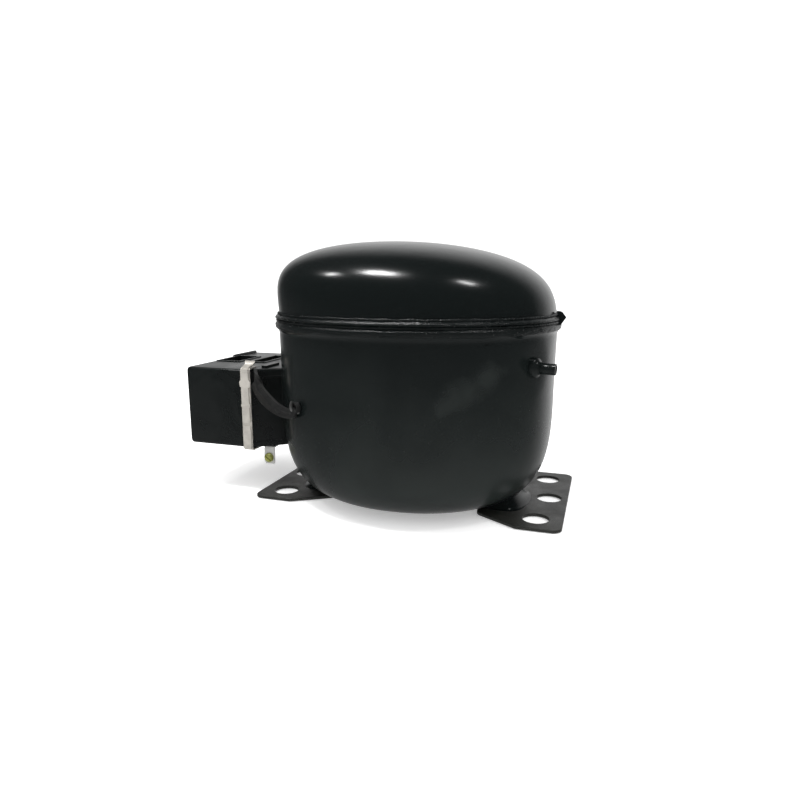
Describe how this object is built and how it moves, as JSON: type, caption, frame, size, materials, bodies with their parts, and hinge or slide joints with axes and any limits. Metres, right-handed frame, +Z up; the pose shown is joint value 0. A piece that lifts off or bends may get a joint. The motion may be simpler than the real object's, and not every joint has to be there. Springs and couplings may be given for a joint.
{
  "type": "hermetic reciprocating compressor",
  "caption": "Black hermetic refrigeration compressor: pressed steel shell with domed lid, welded rim, foot plates, terminal box, stub tubes and a sprung motor and piston pump inside.",
  "frame": {"origin": "centre of the overall box, on the plane the two foot plates stand on", "axes": "+X from the terminal box towards the process tube, +Z up along the crankshaft"},
  "size_m": [0.2594, 0.174, 0.1697],
  "materials": {
    "shell_paint": "gloss black enamel over pressed steel",
    "foot_paint": "satin dark grey-brown paint over 2 mm steel plate",
    "box_plastic": "black moulded plastic with a fine grain",
    "band_rubber": "black moulded band",
    "spring_steel": "bright spring steel strip",
    "steel": "plain machined or drawn steel",
    "yellow_zinc": "yellow passivated zinc on steel",
    "cast_iron": "grey iron, oiled",
    "lamination": "stacked silicon steel sheets",
    "winding_enamel": "enamelled copper wire, tied and varnished",
    "copper": "drawn tube",
    "aluminium": "die cast",
    "white_plastic": "moulded natural white plastic",
    "phenolic": "dark brown phenolic",
    "seal_glass": "dark green fused glass seal",
    "wire_insulation": "insulated lead bundle"
  },
  "bodies": {
    "housing": {"lower_shell": "shell_paint", "upper_shell": "shell_paint", "seam_weld_bead": "shell_paint", "rim_tab": "shell_paint", "suction_tube": "shell_paint", "discharge_tube": "shell_paint", "process_tube": "shell_paint", "terminal_fence": "shell_paint", "left_foot_bracket": "foot_paint", "right_foot_bracket": "foot_paint", "terminal_box_base": "box_plastic", "retaining_strap": "band_rubber", "terminal_body": "steel", "terminal_pin_1": "steel", "terminal_pin_2": "steel", "terminal_pin_3": "steel", "shell_hook": "steel", "ground_tab": "steel", "lower_spring_seat_1": "steel", "lower_spring_seat_2": "steel", "lower_spring_seat_3": "steel", "lower_spring_seat_4": "steel", "ground_screw": "yellow_zinc", "cluster_plug": "white_plastic", "start_relay": "phenolic", "overload_protector": "phenolic", "terminal_glass": "seal_glass"},
    "pump_unit": {"cylinder_block": "cast_iron", "stator_core": "lamination", "stator_winding": "winding_enamel", "valve_plate": "steel", "valve_stop": "spring_steel", "cylinder_head": "aluminium", "suction_muffler": "white_plastic", "discharge_shock_loop": "copper", "lead_harness": "wire_insulation", "head_screw_1": "steel", "head_screw_2": "steel", "head_screw_3": "steel", "head_screw_4": "steel", "stator_bolt_1": "steel", "stator_bolt_2": "steel", "stator_bolt_3": "steel", "stator_bolt_4": "steel", "suspension_spring_1": "steel", "suspension_spring_2": "steel", "suspension_spring_3": "steel", "suspension_spring_4": "steel"},
    "crank": {"crankshaft": "cast_iron", "rotor_core": "lamination", "rotor_cage": "aluminium", "oil_pickup_tube": "steel"},
    "plug": {"oil_gallery_plug": "steel"},
    "piston_and_yoke": {"scotch_yoke": "steel", "piston": "cast_iron"},
    "slider": {"slider_block": "cast_iron"},
    "suction_valve": {"suction_reed": "spring_steel"},
    "discharge_valve": {"discharge_reed": "spring_steel"},
    "box_cover": {"terminal_box_cover": "box_plastic"},
    "cover_clip": {"cover_strap": "spring_steel"}
  },
  "joints": [
    {"name": "suspension_bounce", "type": "slide", "parent": "housing", "child": "pump_unit", "axis": [0, 0, 1], "range_m": [-0.003, 0.003], "stiffness_N_per_m": 14000, "springref_m": 0.00336, "deforming": ["suspension_spring_1", "suspension_spring_2", "suspension_spring_3", "suspension_spring_4", "discharge_shock_loop", "lead_harness"]},
    {"name": "crank_spin", "type": "hinge", "parent": "pump_unit", "child": "crank", "pos_m": [0.0208, 0, 0.106], "axis": [0, 0, 1], "continuous": true},
    {"name": "plug_turn", "type": "hinge", "parent": "crank", "child": "plug", "pos_m": [0.0248, 0, 0.14], "axis": [0, 0, 1], "continuous": true},
    {"name": "piston_stroke", "type": "hinge", "parent": "plug", "child": "piston_and_yoke", "pos_m": [0.0288, 0, 0.126], "axis": [0, 0, 1], "continuous": true},
    {"name": "slider_turn", "type": "hinge", "parent": "crank", "child": "slider", "pos_m": [0.0288, 0, 0.126], "axis": [0, 0, 1], "continuous": true},
    {"name": "suction_reed_lift", "type": "hinge", "parent": "pump_unit", "child": "suction_valve", "pos_m": [0.0772, -0.0042, 0.1178], "axis": [0, -1, 0], "range_deg": [0, 5], "stiffness_Nm_per_rad": 0.0005},
    {"name": "discharge_reed_lift", "type": "hinge", "parent": "pump_unit", "child": "discharge_valve", "pos_m": [0.0807, 0.0042, 0.1178], "axis": [0, 1, 0], "range_deg": [0, 5], "stiffness_Nm_per_rad": 0.0005},
    {"name": "cover_pull", "type": "slide", "parent": "housing", "child": "box_cover", "axis": [-1, 0, 0], "range_m": [0, 0.045]},
    {"name": "clip_slide", "type": "slide", "parent": "housing", "child": "cover_clip", "axis": [-1, 0, 0], "range_m": [0, 0.022]}
  ],
  "couplings": [
    {"joint": "plug_turn", "follows": "crank_spin", "ratio": -2},
    {"joint": "piston_stroke", "follows": "crank_spin", "ratio": 1},
    {"joint": "slider_turn", "follows": "crank_spin", "ratio": -1}
  ]
}
